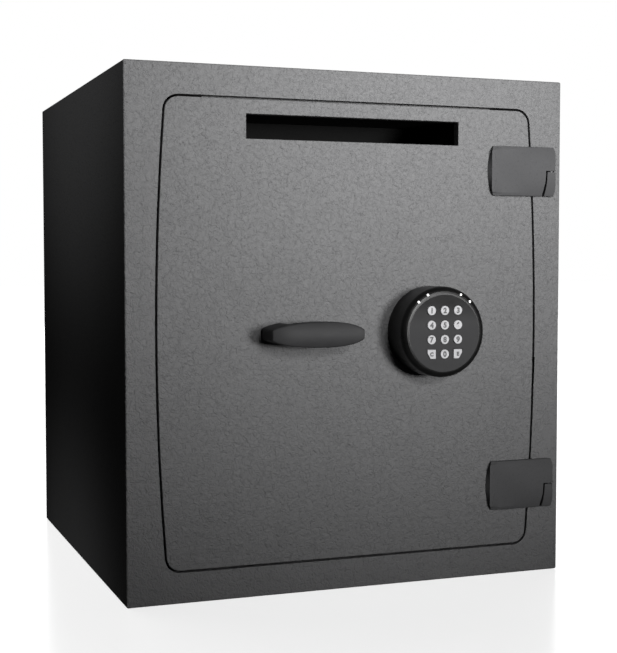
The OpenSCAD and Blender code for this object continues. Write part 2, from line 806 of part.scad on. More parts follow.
module bolt_screws() color(zinc_colour) at_front() for (z = bolt_heights()) {
    rod_x([-flange_left - bolt_screw_in, flange_t - flange_left + eps], bolt_depth, z, bolt_screw_r);
    rod_x([flange_t - flange_left, flange_t - flange_left + bolt_head_t], bolt_depth, z, bolt_head_r);
}

module guide_studs() color(zinc_colour) at_front() for (s = [-1, 1]) {
    rod_y(-stud_x, [door_t, web_front - fit_gap], s * stud_z, stud_shoulder_r);
    rod_y(-stud_x, [door_t, web_front + web_t + fit_gap + clip_t + stud_over], s * stud_z, stud_r);
}

module stud_clips() color(zinc_colour) at_front() for (s = [-1, 1]) difference() {
    rod_y(-stud_x, [web_front + web_t + fit_gap, web_front + web_t + fit_gap + clip_t], s * stud_z, clip_r);
    rod_y(-stud_x, [web_front, pan_back], s * stud_z, stud_r + seat_gap);
}

front_frame();
left_panel();
right_panel();
top_panel();
base_panel();
back_panel();
door_stops();
upper_knuckle();
lower_knuckle();
hinge_pins();
hinge_washers();
door_plate();
door_pan();
inner_cover();
cover_screws();
upper_arm();
lower_arm();
arm_screws();
dog_bar();
chute();
fishing_guard();
hard_plate();
lock_case();
lock_screws();
lock_bolt();
lock_cable();
keypad_base();
keypad_screws();
keypad_housing();
keypad_fascia();
status_lights();
keypad_board();
battery();
key_1();
key_2();
key_3();
key_4();
key_5();
key_6();
key_7();
key_8();
key_9();
key_clear();
key_0();
key_enter();
lever();
lever_screw();
spindle();
spindle_bush();
retaining_ring();
drive_cam();
cam_screw();
bolt_carrier();
bolts();
bolt_screws();
guide_studs();
stud_clips();
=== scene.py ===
# %% [markdown]
# # A deposit safe, built around its CAD frame
# This lesson dresses a steel deposit safe: a welded box, a bowed door with a letter slot, two
# hinges, a lever and a round keypad. The CAD frame already holds every piece at its true size and
# place, so nothing here invents a measure that the frame knows. A render-ready model could be
# drawn again from nothing, but then its door would not swing where the real one does. Each piece
# below starts from the frame's own mesh instead, and gains what CAD leaves out: soft edges, a
# moulded grip, printed numbers and a finish with grain in it.

# %% Load the frame
import json
from math import radians

import bmesh
import bpy
from mathutils import Matrix, Vector

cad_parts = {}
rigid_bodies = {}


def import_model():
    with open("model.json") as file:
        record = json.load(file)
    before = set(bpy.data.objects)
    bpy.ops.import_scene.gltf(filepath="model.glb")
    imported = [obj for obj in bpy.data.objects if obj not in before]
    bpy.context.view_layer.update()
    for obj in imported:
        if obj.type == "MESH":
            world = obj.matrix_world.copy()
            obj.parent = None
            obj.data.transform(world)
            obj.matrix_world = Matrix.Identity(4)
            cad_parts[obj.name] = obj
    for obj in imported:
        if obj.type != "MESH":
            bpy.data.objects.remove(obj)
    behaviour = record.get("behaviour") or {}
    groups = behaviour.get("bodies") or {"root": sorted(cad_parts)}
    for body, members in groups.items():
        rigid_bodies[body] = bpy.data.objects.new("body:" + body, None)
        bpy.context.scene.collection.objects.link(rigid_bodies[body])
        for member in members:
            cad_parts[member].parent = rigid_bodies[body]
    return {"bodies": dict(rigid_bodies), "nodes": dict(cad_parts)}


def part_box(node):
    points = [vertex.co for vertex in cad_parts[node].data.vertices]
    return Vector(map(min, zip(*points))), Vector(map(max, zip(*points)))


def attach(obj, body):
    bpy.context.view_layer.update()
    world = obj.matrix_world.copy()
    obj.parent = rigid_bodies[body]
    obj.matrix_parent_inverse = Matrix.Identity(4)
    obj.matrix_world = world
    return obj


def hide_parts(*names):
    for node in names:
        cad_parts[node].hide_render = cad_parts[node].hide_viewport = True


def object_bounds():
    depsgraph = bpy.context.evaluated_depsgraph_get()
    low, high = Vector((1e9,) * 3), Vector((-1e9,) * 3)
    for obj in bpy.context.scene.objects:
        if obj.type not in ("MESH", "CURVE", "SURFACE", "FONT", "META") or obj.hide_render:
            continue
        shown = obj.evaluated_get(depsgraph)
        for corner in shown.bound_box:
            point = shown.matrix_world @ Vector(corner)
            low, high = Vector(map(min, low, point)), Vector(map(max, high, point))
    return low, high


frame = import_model()
cad_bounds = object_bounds()

# %% [markdown]
# ## Places that the whole lesson shares
# A maker measures from a face that everyone can touch. Here that is the front of the box: the
# door lies flush with it, and the lever, keypad and hinges stand out from it. The values are read
# from the frame's boxes, so they follow the CAD if it changes.

# %% Shared places
mm = 0.001
weld_distance = 0.002 * mm
flat_angle = radians(0.6)
same_place = 0.01 * mm
front_low, front_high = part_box("front_frame")
front_y = front_low.y
back_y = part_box("back_panel")[1].y
outer_low = Vector((front_low.x, front_y, front_low.z))
outer_high = Vector((front_high.x, back_y, front_high.z))
print("box", [round(v / mm) for v in outer_high - outer_low], "mm, front at y", round(front_y, 4))

# %% [markdown]
# ## Small tools for building finishes
# A finish is a graph of nodes that ends in one Principled shader. Adding nodes by hand takes many
# lines, so one helper adds a node, sets what is a plain value and links what comes from another
# node. Every pattern is measured in metres on the piece itself (object coordinates), so it keeps
# its scale and moves with the piece.

# %% Helpers for finishes
# Where the Mix node keeps its two colours and its result.
COLOUR_A, COLOUR_B, COLOUR_OUT = 6, 7, 2


def add(tree, kind, inputs=None, **settings):
    """A node in a material, with its inputs set or linked by name."""
    made = tree.nodes.new(kind)
    for name, value in settings.items():
        setattr(made, name, value)
    for name, value in (inputs or {}).items():
        if isinstance(value, bpy.types.NodeSocket):
            tree.links.new(value, made.inputs[name])
        else:
            made.inputs[name].default_value = value
    return made


def new_finish(name, colour, roughness, **constants):
    """A material with one Principled shader, whose even values are set on the shader's own sockets."""
    finish = bpy.data.materials.new(name)
    finish.use_nodes = True
    finish.diffuse_color = (*colour, 1)
    shader = finish.node_tree.nodes["Principled BSDF"]
    shader.inputs["Base Color"].default_value = (*colour, 1)
    shader.inputs["Roughness"].default_value = roughness
    for socket, value in constants.items():
        shader.inputs[socket.replace("_", " ")].default_value = value
    return finish, finish.node_tree, shader


def speckle(tree, size, detail=3.0, roughness=0.55, stretch=(1, 1, 1), swirl=0.0):
    """A soft cloud pattern whose features are about size metres across."""
    place = add(tree, "ShaderNodeTexCoord").outputs["Object"]
    scaled = add(tree, "ShaderNodeMapping", {"Vector": place, "Scale": stretch}).outputs["Vector"]
    noise = add(tree, "ShaderNodeTexNoise",
                {"Vector": scaled, "Scale": 1 / size, "Detail": detail, "Roughness": roughness,
                 "Distortion": swirl})
    return noise.outputs["Fac"]


def spread(tree, factor, low, high, start=0.3, end=0.7):
    """Stretches a pattern's middle values over low to high."""
    ranged = add(tree, "ShaderNodeMapRange", {"Value": factor, "From Min": start, "From Max": end,
                                              "To Min": low, "To Max": high})
    return ranged.outputs["Result"]


def blend_colours(tree, factor, first, second, mode="MIX"):
    """Two colours mixed by a pattern; either may be a socket or three numbers."""
    mix = add(tree, "ShaderNodeMix", data_type="RGBA", blend_type=mode)
    tree.links.new(factor, mix.inputs[0])
    for place, colour in ((COLOUR_A, first), (COLOUR_B, second)):
        if isinstance(colour, bpy.types.NodeSocket):
            tree.links.new(colour, mix.inputs[place])
        else:
            mix.inputs[place].default_value = (*colour, 1)
    return mix.outputs[COLOUR_OUT]


def relief(tree, height, depth, strength=1.0, below=None):
    """A bump that stands depth metres high, laid over an earlier bump if there is one."""
    inputs = {"Height": height, "Distance": depth, "Strength": strength}
    if below is not None:
        inputs["Normal"] = below
    return add(tree, "ShaderNodeBump", inputs).outputs["Normal"]


def edge_rub(tree, width):
    """1 along outer edges and 0 on flats: where a rounded normal turns away from the true one."""
    rounded = add(tree, "ShaderNodeBevel", {"Radius": width}, samples=6).outputs["Normal"]
    true = add(tree, "ShaderNodeNewGeometry").outputs["True Normal"]
    agree = add(tree, "ShaderNodeVectorMath", {0: rounded, 1: true}, operation="DOT_PRODUCT")
    return spread(tree, agree.outputs["Value"], 1.0, 0.0, 0.72, 0.99)


print("helpers for nodes, patterns, bumps and rubbed edges are ready")

# %% [markdown]
# ## Powder coat
# The box, door and hinges wear a textured powder coat: baked plastic powder that flows into an
# orange peel. Its dimples are darker: painted shade, standing in for the shade that gathers in
# them. A bump map painted by hand would not tile over a box this size, so two noise patterns are
# stacked instead, one a few millimetres across and one a quarter of that. Edges are rubbed a
# little paler, and slow changes in roughness stand for handling. The cast hinges have a finer peel
# than the box, and the chute behind the slot is nearly black.

# %% Powder coats
def powder_coat(name, colour, peel=4.2 * mm, peel_height=1.6 * mm, roughness=0.56, rub=0.35, shine=0.42):
    """Textured powder coat with orange peel, painted shade in its dimples and rubbed edges."""
    finish, tree, shader = new_finish(name, colour, roughness, Specular_IOR_Level=shine)
    dimples = speckle(tree, peel, 2.0, 0.5, swirl=1.2)
    grit = speckle(tree, peel / 4, 3.0, 0.6)
    pooled = speckle(tree, 90 * mm, 2.0, 0.5)
    handled = speckle(tree, 18 * mm, 5.0, 0.65)
    paler = tuple(min(1.0, c * 1.015) for c in colour)
    darker = tuple(c * 0.985 for c in colour)
    # Painted shade: the colour of the peel's dimples.
    dimple_shade_colour = tuple(c * 0.45 for c in colour)
    worn = tuple(min(1.0, c * 1.9 + 0.03) for c in colour)
    tone = blend_colours(tree, spread(tree, pooled, 0, 1, 0.35, 0.65), darker, paler)
    # Painted shade: the peel's dimple pattern is darkened in colour.
    dimple_shaded = blend_colours(tree, spread(tree, dimples, 0, 0.34, 0.56, 0.74), tone, dimple_shade_colour)
    rubbed = {0: edge_rub(tree, 1.6 * mm), 1: spread(tree, handled, 0.1, rub, 0.4, 0.65)}
    scuffs = add(tree, "ShaderNodeMath", rubbed, operation="MULTIPLY").outputs["Value"]
    tree.links.new(blend_colours(tree, scuffs, dimple_shaded, worn), shader.inputs["Base Color"])
    tree.links.new(spread(tree, handled, roughness - 0.02, roughness + 0.03), shader.inputs["Roughness"])
    coarse = relief(tree, dimples, peel_height, 0.9)
    tree.links.new(relief(tree, grit, peel_height / 3, 0.7, coarse), shader.inputs["Normal"])
    return finish


CHARCOAL = (0.115, 0.115, 0.117)
HINGE_CHARCOAL = (0.074, 0.074, 0.076)
INNER_GREY = (0.16, 0.165, 0.17)
CHUTE_BLACK = (0.011, 0.011, 0.011)
charcoal_coat = powder_coat("charcoal_powder_coat", CHARCOAL)
hinge_coat = powder_coat("hinge_powder_coat", HINGE_CHARCOAL, peel=1.6 * mm, peel_height=0.16 * mm,
                         roughness=0.65, shine=0.05)
inner_coat = powder_coat("inner_powder_coat", INNER_GREY, peel=1.8 * mm, peel_height=0.06 * mm,
                         roughness=0.42)
chute_coat = powder_coat("chute_black_coat", CHUTE_BLACK, peel=1.8 * mm, peel_height=0.3 * mm,
                         roughness=0.7, rub=0.5, shine=0.08)
print("powder coats", charcoal_coat.name, hinge_coat.name, inner_coat.name, chute_coat.name)

# %% [markdown]
# ## Plated and cast metal
# Bolts, cams and screws are zinc plated, the lever's bush is turned brass, the hinges' washers
# are blackened steel so that nothing bright shows in the slit, and the lock's body is cast. All
# are metals, so their colour is the colour of their reflections, and what tells them apart is how
# even the surface is. Plating shows faint clouds and fine drawn lines along one direction; a
# casting has a sandy skin and no lines. One helper makes all four, because only the grain's
# direction and size differ.

# %% Metals
def worked_metal(name, colour, tarnish, roughness, lines=(1, 1, 1), grain=0.5 * mm,
                 grain_height=0.02 * mm):
    """Bare or plated metal with cloudy tarnish and drawn or sandy grain."""
    finish, tree, shader = new_finish(name, colour, roughness, Metallic=1.0)
    clouds = speckle(tree, 9 * mm, 5.0, 0.6)
    drawn = speckle(tree, grain, 2.0, 0.5, lines)
    tree.links.new(blend_colours(tree, spread(tree, clouds, 0, 1, 0.4, 0.7), colour, tarnish),
                   shader.inputs["Base Color"])
    changes = {0: spread(tree, clouds, -0.04, 0.10), 1: spread(tree, drawn, 0.0, 0.10)}
    uneven = add(tree, "ShaderNodeMath", changes, operation="ADD").outputs["Value"]
    duller = add(tree, "ShaderNodeMath", {0: uneven, 1: roughness}, operation="ADD").outputs["Value"]
    tree.links.new(duller, shader.inputs["Roughness"])
    tree.links.new(relief(tree, drawn, grain_height, 0.5), shader.inputs["Normal"])
    return finish


DRAWN_ALONG, TURNED_ROUND = (0.08, 1, 1), (1, 0.1, 1)
zinc_plate = worked_metal("zinc_plate", (0.34, 0.35, 0.36), (0.26, 0.26, 0.24), 0.42, DRAWN_ALONG)
turned_brass = worked_metal("turned_brass", (0.72, 0.52, 0.24), (0.50, 0.34, 0.15), 0.26, TURNED_ROUND)
blackened_steel = worked_metal("blackened_steel", (0.05, 0.05, 0.052), (0.03, 0.03, 0.03), 0.45)
cast_zinc = worked_metal("cast_zinc", (0.38, 0.38, 0.39), (0.30, 0.30, 0.30), 0.48, grain=0.9 * mm,
                         grain_height=0.06 * mm)
print("metals", zinc_plate.name, turned_brass.name, blackened_steel.name, cast_zinc.name)

# %% [markdown]
# ## Moulded plastics and rubber
# The keypad's shell is glossy moulded plastic, the lever is satin, and the keys are a soft grey
# rubber. Moulded plastic takes its surface from the mould: a gloss part has faint ripples and
# hairline scratches, a satin part has a spark-eroded grain. One helper makes all of them, with
# the grain's size and height as the difference.

# %% Plastics
def moulded(name, colour, roughness, grain=0.35 * mm, grain_height=0.015 * mm, shine=0.5, marks=0.06):
    """Moulded plastic or rubber with mould grain, handling marks and a slight change of tone."""
    finish, tree, shader = new_finish(name, colour, roughness, Specular_IOR_Level=shine)
    skin = speckle(tree, grain, 2.0, 0.5)
    smears = speckle(tree, 14 * mm, 4.0, 0.7, (1, 1, 2.5))
    paler = tuple(min(1.0, c * 1.12 + 0.002) for c in colour)
    tree.links.new(blend_colours(tree, spread(tree, smears, 0, 1, 0.35, 0.7), colour, paler),
                   shader.inputs["Base Color"])
    smeared = spread(tree, smears, roughness - marks / 2, roughness + marks)
    tree.links.new(smeared, shader.inputs["Roughness"])
    tree.links.new(relief(tree, skin, grain_height, 0.4), shader.inputs["Normal"])
    return finish


gloss_black = moulded("gloss_black_shell", (0.005, 0.005, 0.005), 0.30, grain=6 * mm,
                      grain_height=0.02 * mm, shine=0.15)
satin_black = moulded("satin_black_grip", (0.028, 0.028, 0.029), 0.60, grain=0.4 * mm,
                      grain_height=0.02 * mm, shine=0.22)
face_grey = moulded("keypad_face_grey", (0.025, 0.025, 0.026), 0.62, grain=0.3 * mm, shine=0.2)
key_rubber = moulded("key_rubber_grey", (0.44, 0.44, 0.45), 0.60, grain=0.25 * mm, grain_height=0.01 * mm,
                     shine=0.3)
key_ink = moulded("key_ink_dark", (0.03, 0.03, 0.032), 0.5, grain=0.2 * mm, grain_height=0.004 * mm)
board_lacquer = moulded("board_green_lacquer", (0.02, 0.12, 0.05), 0.30, grain=1.5 * mm,
                        grain_height=0.02 * mm)
cell_case = moulded("battery_case_black", (0.03, 0.032, 0.04), 0.38, grain=0.5 * mm)
cable_rubber = moulded("cable_rubber_black", (0.015, 0.015, 0.015), 0.55, grain=0.6 * mm)
print("plastics", gloss_black.name, satin_black.name, face_grey.name, key_rubber.name)

# %% [markdown]
# ## The keypad's painted shade and its lights
# The top of the keypad's face is painted darker with height: painted shade, standing in for how
# light falls on the face. Four small white lights sit in it. A second piece laid over the face
# could carry the shade, but it would bring an edge that the real one lacks. So the face's own
# finish darkens with height instead. The height comes from object coordinates, which stay with the
# keypad when the door swings. The lights give off a little light of their own, which keeps them
# white in the shade.

# %% Painted shade on the keypad's face, and its lights
# Painted shade: the colour that the top of the keypad's face fades to.
PAINTED_SHADE_COLOUR = (0.004, 0.004, 0.004)
shade_starts, shade_full = 26 * mm, 8 * mm
face_tree = face_grey.node_tree
face_colour = face_tree.nodes["Principled BSDF"].inputs["Base Color"]
place = add(face_tree, "ShaderNodeTexCoord").outputs["Object"]
height = add(face_tree, "ShaderNodeSeparateXYZ", {0: place}).outputs["Z"]
face_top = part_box("keypad_fascia")[1].z
# Painted shade: the face's colour darkens towards its top.
painted_top_shade = spread(face_tree, height, 0, 0.9, face_top - shade_starts, face_top - shade_full)
plain_colour = face_colour.links[0].from_socket
face_tree.links.new(blend_colours(face_tree, painted_top_shade, plain_colour, PAINTED_SHADE_COLOUR), face_colour)

light_lens = moulded("status_light_white", (0.86, 0.86, 0.84), 0.25, grain=0.2 * mm,
                     grain_height=0.004 * mm)
lens_inputs = light_lens.node_tree.nodes["Principled BSDF"].inputs
lens_inputs["Emission Color"].default_value = (1, 1, 1, 1)
lens_inputs["Emission Strength"].default_value = 0.55
print("smoked strip", round((shade_starts - shade_full) / mm), "mm of fade;", light_lens.name)

# %% [markdown]
# ## Dress the pieces whose shape is already right
# Screws, spring clips, the bolt work and the circuit board need no new shape. They keep the
# frame's mesh and take their finish by the material slot that the record names. Each could be
# given its finish by hand, but a table of slots is shorter and can't miss one. A few nodes differ
# from their slot, and have a small table of their own.

# %% Finish by slot
FINISH_OF_SLOT = {
    "coated_steel": charcoal_coat,
    "inner_coat": inner_coat,
    "zinc_steel": zinc_plate,
    "brass": turned_brass,
    "lock_body": cast_zinc,
    "black_gloss": gloss_black,
    "black_satin": satin_black,
    "face_grey": face_grey,
    "key_grey": key_rubber,
    "light_white": light_lens,
    "board_green": board_lacquer,
    "cell_case": cell_case,
    "cable_black": cable_rubber,
}
FINISH_OF_NODE = {"chute": chute_coat, "fishing_guard": chute_coat, "hinge_washers": blackened_steel}
slot_of_node = {}
for node_name, cad_piece in frame["nodes"].items():
    slot_of_node[node_name] = cad_piece.material_slots[0].material.name
    usual = FINISH_OF_SLOT[slot_of_node[node_name]]
    cad_piece.material_slots[0].material = FINISH_OF_NODE.get(node_name, usual)
print("dressed", len(slot_of_node), "nodes")

# %% [markdown]
# ## From a CAD node to a softened piece
# A CAD mesh is cut into thin triangles and its edges are perfectly sharp, so it catches no light
# along them. The helper copies a node, welds its corners, joins triangles that lie in one plane
# and rounds the edges that a caller picks. A bevel modifier on the node itself would be shorter,
# but it treats every tiny screw hole like the door's outline; picking edges keeps the large radii
# large.

# %% Softening helpers
def welded_copy(*nodes):
    """One mesh in the making that holds copies of these CAD nodes, welded and with flat areas joined."""
    made = bmesh.new()
    for name in nodes:
        source = frame["nodes"][name].data
        corners = [made.verts.new(v.co) for v in source.vertices]
        for polygon in source.polygons:
            made.faces.new([corners[i] for i in polygon.vertices])
    bmesh.ops.remove_doubles(made, verts=made.verts, dist=weld_distance)
    bmesh.ops.dissolve_limit(made, angle_limit=flat_angle, verts=made.verts, edges=made.edges,
                             delimit=set())
    return made


def soften(made, radius, where, segments=3, turn=35):
    """Rounds the sharp edges whose middle passes the test called where."""
    picked = [edge for edge in made.edges
              if edge.is_manifold and abs(edge.calc_face_angle_signed(0)) > radians(turn)
              and where((edge.verts[0].co + edge.verts[1].co) / 2, edge)]
    bmesh.ops.bevel(made, geom=picked, offset=radius, segments=segments, profile=0.5, affect="EDGES",
                    clamp_overlap=False)
    bmesh.ops.remove_doubles(made, verts=made.verts, dist=weld_distance)
    return len(picked)


def piece_from(made, name, finish, turn=38):
    """A finished object from a mesh in the making, with smooth curves and flat flats."""
    mesh = bpy.data.meshes.new(name)
    bmesh.ops.recalc_face_normals(made, faces=made.faces)
    made.to_mesh(mesh)
    made.free()
    mesh.shade_smooth()
    mesh.set_sharp_from_angle(angle=radians(turn))
    mesh.materials.append(finish)
    piece = bpy.data.objects.new(name, mesh)
    bpy.context.scene.collection.objects.link(piece)
    weighted = piece.modifiers.new("even_flats", "WEIGHTED_NORMAL")
    weighted.keep_sharp = True
    return piece


def stands_for(piece, body, *nodes):
    """Puts a piece on its body in place of the CAD nodes it was made from."""
    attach(piece, body)
    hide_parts(*nodes)
    print(piece.name, "for", ", ".join(nodes), "with", len(piece.data.polygons), "faces")


print("pieces can be copied, softened and put on their bodies")

# %% [markdown]
# ## The welded box
# The real box is folded and welded from plate, then ground, so it reads as one skin with a small
# radius on every outer edge. The frame has six separate plates. They could be shown as they are,
# but their joints would show as hairlines that grinding removes. Boolean unions weld them, and
# then every outer edge gets the same radius.

# %% Box shell
PLATES = ("front_frame", "left_panel", "right_panel", "top_panel", "base_panel", "back_panel")


def welded_shell(nodes):
    """The union of several CAD nodes as one mesh in the making."""
    first = piece_from(welded_copy(nodes[0]), "shell_start", charcoal_coat)
    first.modifiers.clear()
    plates = [piece_from(welded_copy(name), "plate_" + name, charcoal_coat) for name in nodes[1:]]
    for plate in plates:
        plate.modifiers.clear()
        union = first.modifiers.new("weld", "BOOLEAN")
        union.operation, union.solver, union.object = "UNION", "EXACT", plate
    bpy.context.view_layer.update()
    whole = first.evaluated_get(bpy.context.evaluated_depsgraph_get())
    made = bmesh.new()
    made.from_mesh(whole.to_mesh())
    for scrap in [first, *plates]:
        bpy.data.meshes.remove(scrap.data)
    bmesh.ops.remove_doubles(made, verts=made.verts, dist=weld_distance)
    bmesh.ops.dissolve_limit(made, angle_limit=flat_angle, verts=made.verts, edges=made.edges,
                             delimit=set())
    return made


shell_mesh = welded_shell(PLATES)
print("welded", len(PLATES), "plates into", len(shell_mesh.faces), "faces")

# %% [markdown]
# ## The box's edges
# Grinding leaves a clear radius on the twelve outer edges and only a broken edge round the door
# opening, where a wide radius would open a gap beside the door. Both sets of edges could be
# picked by hand in edit mode. A test on each edge's place does the same work, and still finds
# them if the box gets wider.

# %% Box edges
outer_radius = 1.6 * mm
rim_radius = 0.6 * mm


def on_outer_edge(point, edge):
    """True along the twelve outer edges of the box."""
    touching = 0
    for axis in range(3):
        near_low = abs(point[axis] - outer_low[axis]) < same_place
        near_high = abs(point[axis] - outer_high[axis]) < same_place
        touching += near_low or near_high
    return touching >= 2


def on_front_opening(point, edge):
    """True along the front rim of the door opening."""
    inside_x = outer_low.x + mm < point.x < outer_high.x - mm
    inside_z = outer_low.z + mm < point.z < outer_high.z - mm
    return abs(point.y - front_y) < same_place and inside_x and inside_z


print("outer edges", soften(shell_mesh, outer_radius, on_outer_edge, 4))
print("rim edges", soften(shell_mesh, rim_radius, on_front_opening, 2))
box_shell = piece_from(shell_mesh, "box_shell", charcoal_coat)
stands_for(box_shell, "root", *PLATES)

# %% [markdown]
# ## The door's face
# The door is one thick plate, sawn to a bowed outline and cut with the deposit slot. Its edge and
# the slot's rim are broken by the same small radius, because hands and envelopes pass over them.
# A bevel on the whole plate would also round its screw holes out of shape, so edges too short to
# belong to the outline are left alone.

# %% Door face
door_front_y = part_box("door_plate")[0].y
shortest_straight = 0.9 * mm


def on_door_outline(point, edge):
    """True along the front edge of the door's outline and of its slot, but not round small holes."""
    small = edge.calc_length() < shortest_straight
    return abs(point.y - door_front_y) < same_place and not small


door_mesh = welded_copy("door_plate")
print("door edges", soften(door_mesh, 0.7 * mm, on_door_outline, 3))
door_face = piece_from(door_mesh, "door_face", charcoal_coat)
stands_for(door_face, "door", "door_plate")

# %% [markdown]
# ## The hinge's free end
# Each hinge is a cast arm screwed to the door and a fixed knuckle on the box, with an L-shaped
# slit where they part. The frame makes the whole hinge one barrel. On the real casting only the
# end over the pin needs that height: the free end thins out to a flat tongue with a domed
# outline, and its foot reaches a little further than its brow. Scaling the whole arm down would
# sink the pin's end too. So the arm is sliced across its reach and its height, and each corner is
# pressed towards the flat by its distance from the pin.

# %% Hinge helpers
tongue_proud = 5.0 * mm
frame_end_radius = 5.0 * mm
foot_reach, brow_reach = 5.5 * mm, 2.75 * mm
thinned_share = 0.62
SLICES_ACROSS, SLICES_UP = 14, 16


def slice_at(made, axis, places):
    """Cuts a mesh in the making at each place along an axis, so that it can bend there."""
    for place in places:
        everything = made.verts[:] + made.edges[:] + made.faces[:]
        bmesh.ops.bisect_plane(made, geom=everything, plane_co=axis * place, plane_no=axis)


def barrel_of(made, low, high):
    """Where the middle of an arm's barrel is, half its height, how proud it stands, and its radius."""
    middle_z, half_height = (low.z + high.z) / 2, (high.z - low.z) / 2
    proud = front_y - low.y
    lip_y = max(v.co.y for v in made.verts
                if abs(abs(v.co.z - middle_z) - half_height) < 0.05 * mm and v.co.y < front_y - mm)
    rise = proud - (front_y - lip_y)
    return middle_z, half_height, proud, (half_height ** 2 + rise ** 2) / (2 * rise)


def thin_to_tongue(made, low, high):
    """Presses the free end of a hinge arm from a barrel to a flat tongue with a domed outline."""
    middle_z, half_height, barrel_proud, barrel_radius = barrel_of(made, low, high)
    thinned = (high.x - low.x) * thinned_share
    across = [low.x + thinned * i / SLICES_ACROSS for i in range(1, SLICES_ACROSS + 1)]
    upward = [low.z + 2 * half_height * i / SLICES_UP for i in range(1, SLICES_UP)]
    slice_at(made, Vector((1, 0, 0)), across)
    slice_at(made, Vector((0, 0, 1)), upward)
    for vert in made.verts:
        share = min(1.0, (vert.co.x - low.x) / thinned)
        proud = front_y - vert.co.y
        if proud < -same_place or share >= 1:
            continue
        off_middle = min(1.0, abs(vert.co.z - middle_z) / half_height)
        bulge = (barrel_radius ** 2 - (off_middle * half_height) ** 2) ** 0.5
        skin = barrel_proud - barrel_radius + bulge
        on_round_end = vert.co.x < low.x + frame_end_radius
        if on_round_end and proud > min(barrel_proud - frame_end_radius, skin) - 0.05 * mm:
            proud = skin
        kept = share * share * (3 - 2 * share)
        wanted = min(1.0, tongue_proud * (1 - 0.5 * off_middle ** 6) / skin)
        vert.co.y = front_y - proud * (wanted + (1 - wanted) * kept)
        if share < 0.001:
            up = (front_y - vert.co.y) / tongue_proud
            foot = foot_reach * (1 - off_middle ** 2)
            brow = brow_reach * (1 - off_middle ** 8)
            vert.co.x -= foot + (brow - foot) * min(1.0, up)


print("a tongue", round(tongue_proud / mm, 1), "mm proud, domed by", round(foot_reach / mm, 1), "mm")

# %% [markdown]
# ## Arms and knuckles
# The arm swings with the door and the knuckle stays on the box, so each is a piece of its own on
# its own body. Joined into one mesh they would tear when the door opens. They share one coat and
# one edge radius, so at rest they read as a single casting that the slit divides.

# %% Hinges
hinge_radius = 0.7 * mm


def on_hinge_outside(point, edge):
    """True for edges that stand out in front of the box."""
    return point.y < front_y - 0.2 * mm


for level in ("upper", "lower"):
    arm_mesh = welded_copy(level + "_arm")
    thin_to_tongue(arm_mesh, *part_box(level + "_arm"))
    soften(arm_mesh, hinge_radius, on_hinge_outside, 3)
    arm = piece_from(arm_mesh, level + "_hinge_arm", hinge_coat)
    stands_for(arm, "door", level + "_arm")
    knuckle_mesh = welded_copy(level + "_knuckle")
    soften(knuckle_mesh, hinge_radius, on_hinge_outside, 3)
    knuckle = piece_from(knuckle_mesh, level + "_hinge_knuckle", hinge_coat)
    stands_for(knuckle, "root", level + "_knuckle")

# %% [markdown]
# ## The screws inside the arms
# These screws come through the door from behind and end inside the arm. The pressed tongue is
# thinner than the frame's barrel, so their tips would stand out of it. They are cut off below the
# tongue's skin and closed again, as a fitter would choose a shorter screw.

# %% Arm screws
screw_reach = 3.4 * mm
arm_screw_mesh = welded_copy("arm_screws")
everything = arm_screw_mesh.verts[:] + arm_screw_mesh.edges[:] + arm_screw_mesh.faces[:]
bmesh.ops.bisect_plane(arm_screw_mesh, geom=everything, plane_co=(0, front_y - screw_reach, 0),
                       plane_no=(0, -1, 0), clear_outer=True)
bmesh.ops.holes_fill(arm_screw_mesh, edges=arm_screw_mesh.edges)
arm_screw_set = piece_from(arm_screw_mesh, "arm_screw_set", zinc_plate)
stands_for(arm_screw_set, "door", "arm_screws")

# %% [markdown]
# ## The lever
# The lever is one moulding: a long slim grip and a short neck that runs back to the door. The
# frame has it as two plain forms with sharp creases where they meet. Picking those creases one by
# one for a bevel is fiddly on a curved form. A voxel remesh fuses the whole shape into one even
# skin, and smoothing then melts every crease at once, inside and outside, the way a mould maker
# stones the edges of a cavity. Before the smoothing, the left end is bent back towards the door,
# so that it doesn't catch a sleeve.

# %% Lever
def worked(piece, *modifiers):
    """The mesh of a piece after modifiers, given as (kind, settings); the piece itself is thrown away."""
    piece.modifiers.clear()
    for kind, settings in modifiers:
        modifier = piece.modifiers.new(kind.lower(), kind)
        for setting, value in settings.items():
            setattr(modifier, setting, value)
    bpy.context.view_layer.update()
    final = piece.evaluated_get(bpy.context.evaluated_depsgraph_get())
    made = bmesh.new()
    made.from_mesh(final.to_mesh())
    bpy.data.meshes.remove(piece.data)
    return made


voxel = 0.5 * mm
smoothing_rounds = 24
end_length, end_setback = 22 * mm, 5.5 * mm
lever_low, lever_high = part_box("lever")
lever_depth = lever_high.y - lever_low.y

lever_blank = piece_from(welded_copy("lever"), "lever_blank", satin_black)
lever_form = worked(lever_blank, ("REMESH", {"mode": "VOXEL", "voxel_size": voxel}))
for vert in lever_form.verts:
    near_end = max(0.0, 1 - (vert.co.x - lever_low.x) / end_length)
    forward = (lever_high.y - vert.co.y) / lever_depth
    vert.co.y += end_setback * near_end ** 2 * forward
lever_bent = piece_from(lever_form, "lever_bent", satin_black)
lever_form = worked(lever_bent, ("SMOOTH", {"factor": 0.6, "iterations": smoothing_rounds}))
lever_grip = piece_from(lever_form, "lever_grip", satin_black, 80)
stands_for(lever_grip, "lever", "lever")

# %% [markdown]
# ## Printed marks
# The marks on the keys are printed numbers, with a C to clear and an E to enter. A texture could
# carry them, but real type set as a thin skin keeps its edge at any distance and needs no image.
# Blender's text object sets the type, a small offset makes it bolder, and it is then turned to
# face the front.

# %% Type for the keys
MARK_OF_KEY = {"clear": "C", "enter": "E"}
number_height = 7.0 * mm
letter_height = 0.7 * number_height
mark_thickness = 0.03 * mm
mark_boldness = 0.36 * mm


